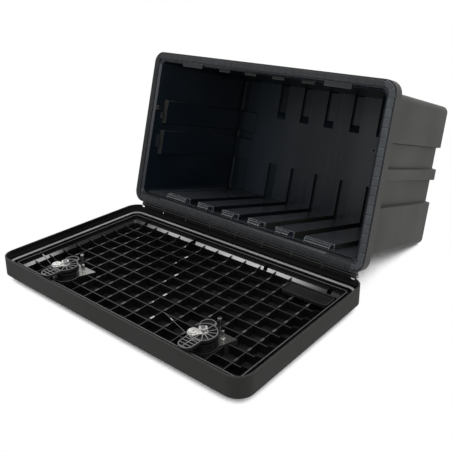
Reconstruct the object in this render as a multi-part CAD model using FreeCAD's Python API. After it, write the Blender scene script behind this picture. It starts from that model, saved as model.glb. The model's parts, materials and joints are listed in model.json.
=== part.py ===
import FreeCAD, Part
import math
import os

os.makedirs("parts", exist_ok=True)
V = FreeCAD.Vector

# How far a cutting form runs past the face that it opens
OVERCUT = 1.0

# Door, lying open with its outer face on the floor and its hinge side at y = 0
DOOR_WIDTH = 800.0
DOOR_DEPTH = 470.0
DOOR_HEIGHT = 64.2
DOOR_CORNER_R = 38.0
DOOR_WALL = 3.6
DOOR_SKIN = 4.0
BEVEL_HEIGHT = 17.0
BEVEL_INSET = 28.0
BEVEL_CORNER_R = 22.0
BEVEL_INNER_SHIFT = 0.4

# Rib grid and stepped border inside the door
GRID_COLUMNS = 15
GRID_ROWS = 9
GRID_BACK_INSET = 45.0
GRID_FRONT_INSET = 33.0
GRID_SIDE_INSET = 36.4
RIB_THICKNESS = 2.4
RIB_TOP = 24.0
RIB_BITE = 1.0
BORDER_FLOOR_TOP = 30.0
BORDER_PLATE = 3.0
BORDER_FIT = 0.6
BORDER_WALL = 3.0
LEDGE_TOP = 31.6
SLOPE_FOOT_SIDE = 44.5
SLOPE_FOOT_BACK = 47.0
SLOPE_FOOT_FRONT = 39.0
SLOPE_RUN = 6.0
SLOPE_CORNER_R = 8.0
LEDGE_CORNER_R = 10.0
BEAD_INSET = 8.5
BEAD_WIDTH = 8.0
BEAD_WALL = 2.4
BEAD_ROUND = 1.6
LEAST_CORNER_R = 8.0
LEAST_INNER_CORNER_R = 6.0
RIDGE_INSET = 29.0
RIDGE_WIDTH = 2.4
RIDGE_TOP = 41.5
GUSSET_LENGTH = 15.0
GUSSET_TOP = 30.6
GUSSET_TIP_TOP = 28.6
GUSSET_TOE = 2.0
GUSSET_SETBACK = 0.5
NOTCH_WIDTH = 12.0
NOTCHES_FROM_LEFT = (87.0, 286.0)
NOTCHES_FROM_RIGHT = (263.0, 73.0)

# Shut door over the flange, which sets the hinge
SHUT_RIM_DEPTH = 18.2
SHUT_DROP = 4.7
PIN_Y = 5.7
PIN_Z = 66.86
PIN_R = 3.0
PIN_RUN_FIT = 0.1
KNUCKLE_R = 7.5
LUG_THICKNESS = 4.0
END_LUG_THICKNESS = 10.0
LUG_SIDE_GAP = 0.7
SLIT_DEPTH = 6.0
PIN_CAP_R = 5.0
PIN_CAP_LENGTH = 4.0
END_LUG_INSET = 29.0
PIN_END_REACH = 3.0

# Opening flange of the box
FLANGE_SIDE_GAP = 5.0
FLANGE_TOP_GAP = 5.3
FLANGE_CORNER_R = 31.5
FLANGE_DEPTH = 28.0
FLANGE_SKIRT = 3.0
FLANGE_PLATE = 4.0
LIP_INSET = 22.0
LIP_CORNER_R = 14.0
LIP_CORNER_GROWTH = 1.0
MOUTH_FLARE_DEPTH = 5.0

# Seal in the groove of the flange
GROOVE_INSET = 3.0
GROOVE_WIDTH = 17.8
GROOVE_DEPTH = 1.5
SEAL_INSET = 4.0
SEAL_WIDTH = 15.6
SEAL_CROWN = 2.2
SEAL_ROUND = 1.6
SEAL_CORNER_GROWTH = 2.0
BEAD_REST_GAP = 0.3

# Tub
TUB_WALL = 4.0
TUB_DEPTH = 432.0
TUB_INSET_FRONT = 23.0
TUB_INSET_SIDE_REAR = 26.0
TUB_INSET_REAR = 27.6
TUB_CORNER_R = 18.0
TUB_REAR_R = 8.0
CHANNEL_PITCH = 93.2
CHANNEL_WIDTH = 34.0
CHANNEL_DEPTH = 10.0
CHANNEL_COUNT = 5
PANEL_SIDE_INSET = 105.0
FLOOR_PANEL_START = 44.0
TOP_POCKET_DROP = 150.0
TOP_POCKET_RAMP = 4.0
BOTTOM_POCKET_END = 158.0
GROOVE_BANDS = ((156.0, 218.0), (253.0, 312.0))
SIDE_GROOVE_DEPTH = 13.0
SIDE_GROOVE_START = 46.0
SIDE_GROOVE_DRAFT = 5.0

# Stepped tabs inside the mouth
SMALL_TAB_WIDTH = 38.0
WIDE_TAB_WIDTH = 75.0
WIDE_TAB_SIDE_INSET = 148.0
FLOOR_TAB_FRONT = 26.0
FLOOR_TAB_BACK = 33.0
FLOOR_TAB_TOP = 40.0
FLOOR_TAB_STEP = 2.5
FLOOR_TAB_STEP_TOP = 33.0
ROOF_TAB_FRONT = 26.0
ROOF_TAB_BACK = 31.0
ROOF_TAB_DROP = 34.0
SIDE_TAB_REACH = 8.0
SIDE_TABS = ((28.0, 33.0, 172.0, 210.0), (30.0, 36.0, 262.0, 278.0))

# Strikes hanging in the mouth, and the pockets behind them for the cams
STRIKE_OFFSET = 6.5
STRIKE_WIDTH = 75.0
STRIKE_DROP = 34.0
STRIKE_FRONT = 0.5
STRIKE_BACK = 3.5
LATCH_POCKET_WIDTH = 96.0
LATCH_POCKET_DEPTH = 20.0
LATCH_POCKET_DROP = 8.0
LATCH_POCKET_FOOT = 4.0
LATCH_POCKET_WALL = 3.0

# Cord eyes on the side walls near the mouth
EYE_LEVEL = 287.0
EYE_SIZE = 12.0
EYE_REACH = 11.0
EYE_HOLE = 6.0
EYE_HOLE_SHIFT = 1.0
EYE_SETBACK = 1.0
EYE_TAPER_GAP = 0.1
REST_GAP = 0.3

# Latch recess in the door
LATCH_SIDE_INSET = 166.5
LATCH_FREE_INSET = 83.0
DISH_HALF_TOP = 44.5
DISH_HALF_BOTTOM = 25.0
DISH_BACK = 56.5
DISH_R = 33.0
DISH_TOP = 28.0
DISH_WALL = 3.0

# Bearing of the latch, on the back of its recess
BEARING_R = 32.0
BEARING_WAIST_R = 25.0
BEARING_FLANGE = 3.0
BEARING_TOP = 45.0
SPINDLE_R = 8.0
SPINDLE_END_R = 5.0
SPINDLE_RUN_FIT = 0.1
POST_R = 5.0
POST_TOP = 66.0
POST_CHAMFER = 1.0
POST_X = 0.5
POST_Y = 51.0
EYELET_R = 3.0
EYELET_FOOT_R = 5.0
EYELET_FOOT_HEIGHT = 2.0
EYELET_TOP = 48.0
EYELET_X = 20.0
EYELET_Y = 38.5

# Cam of the latch
CAM_CLEARANCE = 0.8
CAM_THICKNESS = 6.5
CAM_FAN_R = 31.0
CAM_HEAD_X = -12.0
CAM_HEAD_Y = 28.0
CAM_HEAD_R = 18.0
CAM_ARM_LENGTH = 67.0
CAM_ARM_WIDTH = 36.0
CAM_WEB = 2.2
CAM_FLOOR = 1.6
CAM_HUB_R = 11.0
CAM_RIB_PITCH = 9.0
CAM_FAN_RIBS = (-55.0, -28.0, 0.0, 28.0, 55.0)
LEVER_THICKNESS = 2.0
LEVER_X = -14.3
LEVER_Y = -15.3
LEVER_R = 12.5
LEVER_WAIST = 10.0
LEVER_CAP_R = 11.0
LEVER_CAP_HEIGHT = 3.0
LEVER_HOLE_R = 1.8
NUT_ACROSS_FLATS = 17.0
NUT_HEIGHT = 8.0
NUT_TURN = 15.0
SPINDLE_OVER_NUT = 2.5

# Knob and key plug on the outer side
KNOB_R = 28.0
KNOB_RECESS = 2.0
KNOB_BASE = 5.0
GRIP_LENGTH = 52.0
GRIP_WIDTH = 20.0
GRIP_END_FLAT = 1.0
PLUG_R = 6.5
PLUG_RUN_FIT = 0.1
KEY_SLOT_WIDTH = 1.6
KEY_SLOT_LENGTH = 8.0
KEY_SLOT_DEPTH = 6.0

# Keeper wire beside each latch, from its bearing to a rib
WIRE_R = 0.8
WIRE_NEAR = (-29.6, -13.4, 43.5)
WIRE_FAR = {"left": (-148.9, 21.5, 42.4), "right": (-152.0, 36.5, RIB_TOP + 1.1)}
CRIMP_R = 1.6
CRIMP_LENGTH = 14.0
CRIMP_PLACE = 0.62

# Tray for papers on the ribs
TRAY_LENGTH = 128.0
TRAY_WIDTH = 47.0
TRAY_SIDE_INSET = 45.0
TRAY_BACK_INSET = 58.0
TRAY_CORNER_R = 10.0
TRAY_HEIGHT = 7.0
TRAY_WALL = 1.6


def box(x0, x1, y0, y1, z0, z1):
    return Part.makeBox(x1 - x0, y1 - y0, z1 - z0, V(x0, y0, z0))


def rod(radius, x, y, z0, z1):
    return Part.makeCylinder(radius, z1 - z0, V(x, y, z0))


def cross_rod(radius, x0, x1, y, z):
    return Part.makeCylinder(radius, x1 - x0, V(x0, y, z), V(1, 0, 0))


def joined(shapes):
    return shapes[0].multiFuse(shapes[1:]).removeSplitter()


def outline(a0, a1, b0, b1, radius, level, upright=False):
    """Rounded rectangle, lying flat or standing as the opening does."""

    def at(a, b):
        return V(a, level, b) if upright else V(a, b, level)

    def on_arc(centre, degrees):
        turn = math.radians(degrees)
        return at(centre[0] + radius * math.cos(turn), centre[1] + radius * math.sin(turn))

    centres = ((a1 - radius, b1 - radius), (a0 + radius, b1 - radius),
               (a0 + radius, b0 + radius), (a1 - radius, b0 + radius))
    edges = []
    for number, centre in enumerate(centres):
        start = 90.0 * number
        following = centres[(number + 1) % 4]
        arc = Part.Arc(on_arc(centre, start), on_arc(centre, start + 45), on_arc(centre, start + 90))
        edges.append(arc.toShape())
        edges.append(Part.makeLine(on_arc(centre, start + 90), on_arc(following, start + 90)))
    return Part.Wire(edges)


def slab(a0, a1, b0, b1, radius, low, high, upright=False):
    """Prism over a rounded rectangle."""
    way = V(0, high - low, 0) if upright else V(0, 0, high - low)
    return Part.Face(outline(a0, a1, b0, b1, radius, low, upright)).extrude(way)


def polygon(points, way):
    """Prism over a closed run of points."""
    corners = [V(*point) for point in points]
    return Part.Face(Part.makePolygon(corners + corners[:1])).extrude(V(*way))


# Hinge seen from the box, and the lean that sets its rear edge on the floor
PIN_DEPTH = PIN_Z - DOOR_HEIGHT + SHUT_RIM_DEPTH
PIN_DROP = PIN_Y + SHUT_DROP
FLOOR_DRAFT = (TUB_INSET_REAR - TUB_INSET_FRONT) / (TUB_DEPTH - GROOVE_DEPTH)
REAR_REACH = TUB_DEPTH - TUB_REAR_R - PIN_DEPTH
REAR_RISE = TUB_INSET_REAR + TUB_REAR_R * (math.hypot(1, FLOOR_DRAFT) - FLOOR_DRAFT) + PIN_DROP
pin_over_rear = (PIN_Z - TUB_REAR_R) / math.hypot(REAR_REACH, REAR_RISE)
LEAN = math.degrees(math.asin(pin_over_rear) + math.atan2(REAR_RISE, REAR_REACH))
SHUT_OFFSET = PIN_Z - PIN_DEPTH

# Levels of the door that follow from the shut pose
BEAD_TOP = SHUT_OFFSET - SEAL_CROWN - BEAD_REST_GAP
CAM_BOTTOM = SHUT_OFFSET + FLANGE_PLATE + CAM_CLEARANCE
CAM_TOP = CAM_BOTTOM + CAM_THICKNESS

# Box opening and hinge stations that follow from the door
half_door = DOOR_WIDTH / 2
half_flange = half_door - FLANGE_SIDE_GAP
flange_height = DOOR_DEPTH - SHUT_DROP - FLANGE_TOP_GAP
panel_half_width = half_flange - PANEL_SIDE_INSET
end_lug_x = half_flange - END_LUG_INSET
knuckle_end_x = end_lug_x - END_LUG_THICKNESS / 2
latch_x = half_door - LATCH_SIDE_INSET
latch_y = -DOOR_DEPTH + LATCH_FREE_INSET
strike_x = latch_x + STRIKE_OFFSET
channel_x = [CHANNEL_PITCH * (k - (CHANNEL_COUNT - 1) / 2) for k in range(CHANNEL_COUNT)]
tab_x = [CHANNEL_PITCH * (k + 0.5) for k in (-2, -1, 0, 1)]
lug_x = [CHANNEL_PITCH * k for k in (-3, -2, -1, 0, 1, 2, 3)]


def tub_form(wall, front, back):
    """Tapered block of the tub, taken in by the wall, with its rear edges rounded."""
    radius = TUB_CORNER_R - wall
    side_front = half_flange - TUB_INSET_FRONT - wall
    side_rear = half_flange - TUB_INSET_SIDE_REAR - wall
    wires = []
    for side, inset, level in ((side_front, TUB_INSET_FRONT, front), (side_rear, TUB_INSET_REAR, back)):
        low = inset + wall
        wires.append(outline(-side, side, low, flange_height - low, radius, level, True))
    body = Part.makeLoft(wires, True, True)
    rear_face = max(body.Faces, key=lambda face: face.CenterOfMass.y)
    return body.makeFillet(TUB_REAR_R - wall / 2, rear_face.Edges)


def side_groove(side, low, high, wall):
    """Draughted groove along one side wall that turns the rear corner."""
    depth = SIDE_GROOVE_DEPTH + wall
    draft = SIDE_GROOVE_DRAFT
    surface = half_flange - TUB_INSET_FRONT
    bottom = surface - depth
    start = SIDE_GROOVE_START - wall
    end = panel_half_width - TUB_WALL
    profile = [(surface + draft, low - wall - draft), (surface + draft, high + wall + draft),
               (bottom, high + wall), (bottom, low - wall)]
    run = polygon([(side * x, start, z) for x, z in profile], (0, TUB_DEPTH - start + draft, 0))
    floor = TUB_DEPTH - depth
    rear = [(TUB_DEPTH + draft, low - wall - draft), (TUB_DEPTH + draft, high + wall + draft),
            (floor, high + wall), (floor, low - wall)]
    across = polygon([(side * end, y, z) for y, z in rear], (side * (surface + draft - end), 0, 0))
    return run.fuse(across)


def rear_panels(wall):
    """Hollows let into the outside of the rear wall and floor, between the channels."""
    depth = CHANNEL_DEPTH + wall
    half_width = panel_half_width - TUB_WALL + wall
    half_channel = CHANNEL_WIDTH / 2 + TUB_WALL - wall
    floor_level = TUB_INSET_REAR + depth
    back_level = TUB_DEPTH - depth
    start = FLOOR_PANEL_START - wall
    back = box(-half_width, half_width, back_level, TUB_DEPTH + OVERCUT, 0, flange_height)
    floor = box(-half_width, half_width, start, TUB_DEPTH + OVERCUT, 0, floor_level)
    low_end = BOTTOM_POCKET_END + TUB_WALL - wall
    high_end = flange_height - TOP_POCKET_DROP - TUB_WALL + wall
    past = TUB_DEPTH + 2 * OVERCUT
    over_top = flange_height + OVERCUT
    ramp_end = high_end + TOP_POCKET_RAMP * CHANNEL_DEPTH
    bars = []
    for x in channel_x:
        side0, side1 = x - half_channel, x + half_channel
        bars.append(box(side0, side1, start - OVERCUT, past, -OVERCUT, floor_level + OVERCUT))
        bars.append(box(side0, side1, back_level - OVERCUT, past, -OVERCUT, low_end))
        step = [(side0, back_level - OVERCUT, high_end), (side0, past, ramp_end),
                (side0, past, over_top), (side0, back_level - OVERCUT, over_top)]
        bars.append(polygon(step, (side1 - side0, 0, 0)))
    return back.fuse(floor).cut(joined(bars))


# Tub: flange, tapered wall, side grooves, rear pockets and floor channels
tub_front = GROOVE_DEPTH
tub_outside = tub_form(0.0, tub_front, TUB_DEPTH)
tub_inside = tub_form(TUB_WALL, tub_front - 2 * OVERCUT, TUB_DEPTH - TUB_WALL)
outer_cuts = [rear_panels(0.0)]
inner_cuts = [rear_panels(TUB_WALL)]
for side in (-1, 1):
    for low, high in GROOVE_BANDS:
        outer_cuts.append(side_groove(side, low, high, 0.0))
        inner_cuts.append(side_groove(side, low, high, TUB_WALL))
tub_outside = tub_outside.cut(joined(outer_cuts))
tub_inside = tub_inside.cut(joined(inner_cuts))

flange_block = slab(-half_flange, half_flange, 0, flange_height, FLANGE_CORNER_R, 0, FLANGE_DEPTH, True)
inset = FLANGE_SKIRT
flange_hollow = slab(-half_flange + inset, half_flange - inset, inset, flange_height - inset,
                     FLANGE_CORNER_R - inset, FLANGE_PLATE, FLANGE_DEPTH + OVERCUT, True)
flange = flange_block.cut(flange_hollow)

pocket_outsides = []
pocket_insides = []
for x in (-strike_x, strike_x):
    half = LATCH_POCKET_WIDTH / 2
    outer = half + LATCH_POCKET_WALL
    low = flange_height - TUB_INSET_REAR - TUB_WALL - LATCH_POCKET_FOOT
    top = flange_height - LATCH_POCKET_DROP
    pocket_outsides.append(box(x - outer, x + outer, FLANGE_PLATE - OVERCUT,
                               LATCH_POCKET_DEPTH + LATCH_POCKET_WALL, low, top + LATCH_POCKET_WALL))
    pocket_insides.append(box(x - half, x + half, FLANGE_PLATE, LATCH_POCKET_DEPTH, low - OVERCUT, top))

lip_side = half_flange - LIP_INSET
mouth_side = half_flange - TUB_INSET_FRONT - TUB_WALL
mouth_low = TUB_INSET_FRONT + TUB_WALL
lip_line = outline(-lip_side, lip_side, LIP_INSET, flange_height - LIP_INSET,
                   LIP_CORNER_R + LIP_CORNER_GROWTH, -OVERCUT / 100, True)
mouth_line = outline(-mouth_side, mouth_side, mouth_low, flange_height - mouth_low,
                     LIP_CORNER_R, MOUTH_FLARE_DEPTH, True)
mouth = Part.makeLoft([lip_line, mouth_line], True, True)

groove_outer = GROOVE_INSET
groove_inner = GROOVE_INSET + GROOVE_WIDTH
seal_groove = slab(-half_flange + groove_outer, half_flange - groove_outer, groove_outer,
                   flange_height - groove_outer, FLANGE_CORNER_R - groove_outer, -OVERCUT, GROOVE_DEPTH, True)
seal_groove = seal_groove.cut(slab(-half_flange + groove_inner, half_flange - groove_inner, groove_inner,
                                   flange_height - groove_inner, LIP_CORNER_R + LIP_CORNER_GROWTH,
                                   -2 * OVERCUT, GROOVE_DEPTH + OVERCUT, True))

# Tabs moulded inside the mouth, and the hinge lugs under the flange
wide_tab_x = half_flange - WIDE_TAB_SIDE_INSET
floor_tabs = [(x, SMALL_TAB_WIDTH / 2) for x in tab_x]
floor_tabs += [(x, WIDE_TAB_WIDTH / 2) for x in (-wide_tab_x, wide_tab_x)]
tab_foot = TUB_INSET_FRONT + TUB_WALL / 4
roof_low = flange_height - ROOF_TAB_DROP
strike_low = flange_height - STRIKE_DROP
strike_top = flange_height - LIP_INSET + OVERCUT
tabs = []
for x, half in floor_tabs:
    tabs.append(box(x - half, x + half, FLOOR_TAB_FRONT, FLOOR_TAB_BACK, tab_foot, FLOOR_TAB_TOP))
    tabs.append(box(x - half, x + half, FLOOR_TAB_FRONT - FLOOR_TAB_STEP, FLOOR_TAB_FRONT,
                    tab_foot, FLOOR_TAB_STEP_TOP))
for x in tab_x:
    half = SMALL_TAB_WIDTH / 2
    tabs.append(box(x - half, x + half, ROOF_TAB_FRONT, ROOF_TAB_BACK, roof_low, flange_height - tab_foot))
for x in (-strike_x, strike_x):
    half = STRIKE_WIDTH / 2
    tabs.append(box(x - half, x + half, STRIKE_FRONT, STRIKE_BACK, strike_low, strike_top))
for side in (-1, 1):
    for front, back, low, high in SIDE_TABS:
        near, far = sorted((side * (mouth_side - SIDE_TAB_REACH), side * (mouth_side + TUB_WALL * 3 / 4)))
        tabs.append(box(near, far, front, back, low, high))

lugs = []
end_lugs = [(-end_lug_x, END_LUG_THICKNESS), (end_lug_x, END_LUG_THICKNESS)]
for x, thickness in [(x, LUG_THICKNESS) for x in lug_x] + end_lugs:
    left = x - thickness / 2
    lug = cross_rod(KNUCKLE_R, left, left + thickness, PIN_DEPTH, -PIN_DROP)
    neck = box(left, left + thickness, PIN_DEPTH - KNUCKLE_R, FLANGE_DEPTH, -PIN_DROP, FLANGE_SKIRT)
    lugs.append(lug.fuse(neck))
pin_hole = cross_rod(PIN_R, -half_door, half_door, PIN_DEPTH, -PIN_DROP)

tub = joined([flange, tub_outside] + pocket_outsides + lugs)
tub = tub.cut(joined([tub_inside, mouth, seal_groove, pin_hole] + pocket_insides))
tub = joined([tub] + tabs)

# Seal: a padded strip with a cross notch at every pillow
seal_out, seal_in = SEAL_INSET, SEAL_INSET + SEAL_WIDTH
seal = slab(-half_flange + seal_out, half_flange - seal_out, seal_out, flange_height - seal_out,
            FLANGE_CORNER_R - seal_out, -SEAL_CROWN, GROOVE_DEPTH, True)
seal = seal.cut(slab(-half_flange + seal_in, half_flange - seal_in, seal_in, flange_height - seal_in,
                     FLANGE_CORNER_R - seal_in + SEAL_CORNER_GROWTH, -SEAL_CROWN - OVERCUT,
                     GROOVE_DEPTH + OVERCUT, True))
front_face = min(seal.Faces, key=lambda face: face.CenterOfMass.y)
seal = seal.makeChamfer(SEAL_ROUND, front_face.Edges)

# Cord eyes screwed to the side walls
eyes = {}
for side, sign in (("left", -1), ("right", 1)):
    wall_x = mouth_side - REST_GAP - EYE_TAPER_GAP
    near, far = sorted((sign * (wall_x - EYE_REACH), sign * wall_x))
    half = EYE_SIZE / 2
    eye_front = MOUTH_FLARE_DEPTH + EYE_SETBACK
    block = box(near, far, eye_front, eye_front + EYE_SIZE, EYE_LEVEL, EYE_LEVEL + EYE_SIZE)
    middle_x = (near + far) / 2 - sign * EYE_HOLE_SHIFT
    hole = EYE_HOLE / 2
    middle_z = EYE_LEVEL + half
    window = box(middle_x - hole / 2, middle_x + hole, 0, FLANGE_DEPTH, middle_z - hole, middle_z + hole)
    eyes[side] = block.cut(window)

# Hinge pin with a push cap on each end
pin_end = end_lug_x + END_LUG_THICKNESS / 2
pin = cross_rod(PIN_R, -pin_end - PIN_END_REACH, pin_end + PIN_END_REACH, PIN_DEPTH, -PIN_DROP)
caps = {}
for side, sign in (("left", -1), ("right", 1)):
    near, far = sorted((sign * pin_end, sign * (pin_end + PIN_CAP_LENGTH)))
    cap = cross_rod(PIN_CAP_R, near, far, PIN_DEPTH, -PIN_DROP)
    caps[side] = cap.cut(pin)


def door_form(wall, low, high):
    """Door block with its bevelled outer panel, taken in by the wall."""
    inset = BEVEL_INSET + wall * BEVEL_INNER_SHIFT
    rise = BEVEL_HEIGHT + wall * (1 - BEVEL_INNER_SHIFT)
    side, free = half_door - wall, -DOOR_DEPTH + wall
    foot = outline(-half_door + inset, half_door - inset, -DOOR_DEPTH + inset, -inset, BEVEL_CORNER_R, low)
    knee = outline(-side, side, free, -wall, DOOR_CORNER_R - wall, rise)
    bevel = Part.makeLoft([foot, knee], True, True)
    skirt = slab(-side, side, free, -wall, DOOR_CORNER_R - wall, rise, high)
    return bevel.fuse(skirt).removeSplitter()


def dish(x, grow, low, high):
    """Recess of one latch: a round bowl with a shoulder towards the hinge."""
    y = latch_y
    top, bottom, back = DISH_HALF_TOP + grow, DISH_HALF_BOTTOM + grow, DISH_BACK + grow
    corners = [(x - bottom, y, low), (x + bottom, y, low), (x + top, y + back, low), (x - top, y + back, low)]
    shoulder = polygon(corners, (0, 0, high - low))
    return rod(DISH_R + grow, x, y, low, high).fuse(shoulder).removeSplitter()


# Door shell: skirt, bevelled panel, latch recesses, hinge knuckles
latches = (("left", -latch_x), ("right", latch_x))
door_outside = door_form(0.0, 0.0, DOOR_HEIGHT)
door_inside = door_form(DOOR_WALL, DOOR_SKIN, DOOR_HEIGHT + OVERCUT)
door_shell = door_outside.cut(door_inside)
door_shell = joined([door_shell] + [dish(x, 0.0, 0.0, DISH_TOP) for _, x in latches])
door_shell = door_shell.cut(joined([dish(x, -DISH_WALL, -OVERCUT, DISH_TOP - DISH_WALL) for _, x in latches]))
spindle_holes = [rod(SPINDLE_R + SPINDLE_RUN_FIT, x, latch_y, 0, DOOR_HEIGHT) for _, x in latches]
door_shell = door_shell.cut(joined(spindle_holes))

knuckles = []
stations = [-knuckle_end_x] + lug_x + [knuckle_end_x]
for number in range(len(stations) - 1):
    start = stations[number] + (LUG_THICKNESS / 2 if number else 0) + LUG_SIDE_GAP
    end = stations[number + 1] - (LUG_THICKNESS / 2 if number < len(stations) - 2 else 0) - LUG_SIDE_GAP
    knuckles.append(cross_rod(KNUCKLE_R, start, end, PIN_Y, PIN_Z))
slits = []
for x, thickness in [(x, LUG_THICKNESS) for x in lug_x] + end_lugs:
    half = thickness / 2 + LUG_SIDE_GAP
    slits.append(box(x - half, x + half, -2 * DOOR_WALL, 2 * KNUCKLE_R,
                     DOOR_HEIGHT - SLIT_DEPTH, DOOR_HEIGHT + OVERCUT))
door_shell = joined([door_shell] + knuckles)
bore = cross_rod(PIN_R + PIN_RUN_FIT, -half_door, half_door, PIN_Y, PIN_Z)
door_shell = door_shell.cut(joined([bore] + slits))

# Inner frame: stepped border with its sealing bead, and the rib grid
grid_side = half_door - GRID_SIDE_INSET
grid_back = -GRID_BACK_INSET
grid_front = -DOOR_DEPTH + GRID_FRONT_INSET
pitch_x = 2 * grid_side / GRID_COLUMNS
pitch_y = (grid_back - grid_front) / GRID_ROWS


def border_ring(inset, width, low, high):
    radius = DOOR_CORNER_R - inset
    inner = inset + width
    outside = slab(-half_door + inset, half_door - inset, -DOOR_DEPTH + inset, -inset,
                   max(radius, LEAST_CORNER_R), low, high)
    inside = slab(-half_door + inner, half_door - inner, -DOOR_DEPTH + inner, -inner,
                  max(radius - width, LEAST_INNER_CORNER_R), low - OVERCUT, high + OVERCUT)
    return outside.cut(inside)


def grid_outline(run, radius, level):
    """Line round the grid, the given run outside the foot of its sloped edge."""
    side = half_door - SLOPE_FOOT_SIDE + run
    return outline(-side, side, -DOOR_DEPTH + SLOPE_FOOT_FRONT - run, -SLOPE_FOOT_BACK + run, radius, level)


plate_inset = DOOR_WALL + BORDER_FIT
plate_low = BORDER_FLOOR_TOP - BORDER_PLATE
bead = border_ring(BEAD_INSET, BEAD_WIDTH, plate_low, BEAD_TOP)
crest = max(bead.Faces, key=lambda face: face.CenterOfMass.z)
bead = bead.makeFillet(BEAD_ROUND, crest.Edges)
bead = bead.cut(border_ring(BEAD_INSET + BEAD_WALL, BEAD_WIDTH - 2 * BEAD_WALL,
                            plate_low - OVERCUT, BEAD_TOP - BEAD_WALL))
ridge = border_ring(RIDGE_INSET, RIDGE_WIDTH, plate_low, RIDGE_TOP)
border_plate = slab(-half_door + plate_inset, half_door - plate_inset, -DOOR_DEPTH + plate_inset,
                    -plate_inset, DOOR_CORNER_R - plate_inset, plate_low, BORDER_FLOOR_TOP)
border_plate = border_plate.cut(border_ring(BEAD_INSET + BEAD_WALL, BEAD_WIDTH - 2 * BEAD_WALL,
                                            plate_low - OVERCUT, BORDER_FLOOR_TOP + OVERCUT))
ledge = slab(-half_door + RIDGE_INSET, half_door - RIDGE_INSET, -DOOR_DEPTH + RIDGE_INSET, -RIDGE_INSET,
             LEDGE_CORNER_R, plate_low, LEDGE_TOP)
wall_foot = Part.Face(grid_outline(BORDER_WALL, LEDGE_CORNER_R, DOOR_SKIN))
grid_wall = wall_foot.extrude(V(0, 0, LEDGE_TOP - DOOR_SKIN))
hollow_foot = DOOR_SKIN - OVERCUT
grid_hollow = Part.Face(grid_outline(0, SLOPE_CORNER_R, hollow_foot)).extrude(V(0, 0, RIB_TOP - hollow_foot))
slope_top = grid_outline(SLOPE_RUN, SLOPE_CORNER_R + SLOPE_RUN / 2, LEDGE_TOP + OVERCUT / 100)
slope = Part.makeLoft([grid_outline(0, SLOPE_CORNER_R, RIB_TOP), slope_top], True, True)
inner_frame = joined([bead, ridge, border_plate, ledge, grid_wall]).cut(grid_hollow.fuse(slope))

column_lines = [-grid_side + pitch_x * k for k in range(1, GRID_COLUMNS)]
row_lines = [grid_front + pitch_y * k for k in range(1, GRID_ROWS)]
tray_x = (half_door - TRAY_SIDE_INSET - TRAY_LENGTH, half_door - TRAY_SIDE_INSET)
tray_y = (-TRAY_BACK_INSET - TRAY_WIDTH, -TRAY_BACK_INSET)
half = RIB_THICKNESS / 2
wall_back, wall_front = -SLOPE_FOOT_BACK + RIB_BITE, -DOOR_DEPTH + SLOPE_FOOT_FRONT - RIB_BITE
wall_side = half_door - SLOPE_FOOT_SIDE + RIB_BITE
ribs = [box(x - half, x + half, wall_front, wall_back, DOOR_SKIN, RIB_TOP) for x in column_lines]
ribs += [box(-wall_side, wall_side, y - half, y + half, DOOR_SKIN, RIB_TOP) for y in row_lines]


def clear_of_tray(x, y):
    return not (tray_x[0] < x < tray_x[1] and tray_y[0] < y < tray_y[1])


foot_side = half_door - SLOPE_FOOT_SIDE
gusset_reach = GUSSET_LENGTH + GUSSET_TOE
gusset_root = SLOPE_RUN - GUSSET_SETBACK
gusset_low = RIB_TOP - RIB_BITE
side_profile = ((gusset_root, gusset_low), (gusset_root, GUSSET_TOP), (-GUSSET_LENGTH, GUSSET_TIP_TOP),
                (-gusset_reach, RIB_TOP), (-gusset_reach, gusset_low))
gussets = []
for x in column_lines:
    if clear_of_tray(x, -SLOPE_FOOT_BACK - gusset_reach):
        profile = [(x - half, run - SLOPE_FOOT_BACK, z) for run, z in side_profile]
        gussets.append(polygon(profile, (RIB_THICKNESS, 0, 0)))
for y in row_lines:
    for way in (-1, 1):
        edge = way * foot_side
        if clear_of_tray(edge - way * gusset_reach, y):
            profile = [(edge + way * run, y - half, z) for run, z in side_profile]
            gussets.append(polygon(profile, (0, RIB_THICKNESS, 0)))
notch_x = [run - half_door for run in NOTCHES_FROM_LEFT] + [half_door - run for run in NOTCHES_FROM_RIGHT]
notches = [box(x - NOTCH_WIDTH / 2, x + NOTCH_WIDTH / 2, -SLOPE_FOOT_BACK - OVERCUT,
               -RIDGE_INSET - RIDGE_WIDTH, RIB_TOP, DOOR_HEIGHT) for x in notch_x]
dish_clear = [dish(x, BORDER_FIT, 0.0, DOOR_HEIGHT) for _, x in latches]
inner_frame = joined([inner_frame] + ribs + gussets).cut(joined(notches + dish_clear))


def cam_outline(x, y, taken, low, high):
    """Form of the cam: a head, a fan on the right of the hub and an arm towards the free edge."""
    half = CAM_ARM_WIDTH / 2 - taken
    tip = y - CAM_ARM_LENGTH + CAM_ARM_WIDTH / 2
    arm = box(x - half, x + half, tip, y, low, high).fuse(rod(half, x, tip, low, high))
    head = rod(CAM_HEAD_R - taken, x + CAM_HEAD_X, y + CAM_HEAD_Y, low, high)
    neck = polygon([(x - half, y, low), (x + half, y, low), (x + half, y + CAM_HEAD_Y / 2, low),
                    (x + CAM_HEAD_X + CAM_HEAD_R - taken, y + CAM_HEAD_Y, low),
                    (x + CAM_HEAD_X - CAM_HEAD_R + taken, y + CAM_HEAD_Y, low)], (0, 0, high - low))
    fan = rod(CAM_FAN_R - taken, x, y, low, high)
    fan = fan.cut(box(x - CAM_FAN_R, x - half, y - CAM_FAN_R, y + CAM_FAN_R, low - OVERCUT, high + OVERCUT))
    return joined([arm, neck, head, fan])


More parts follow.
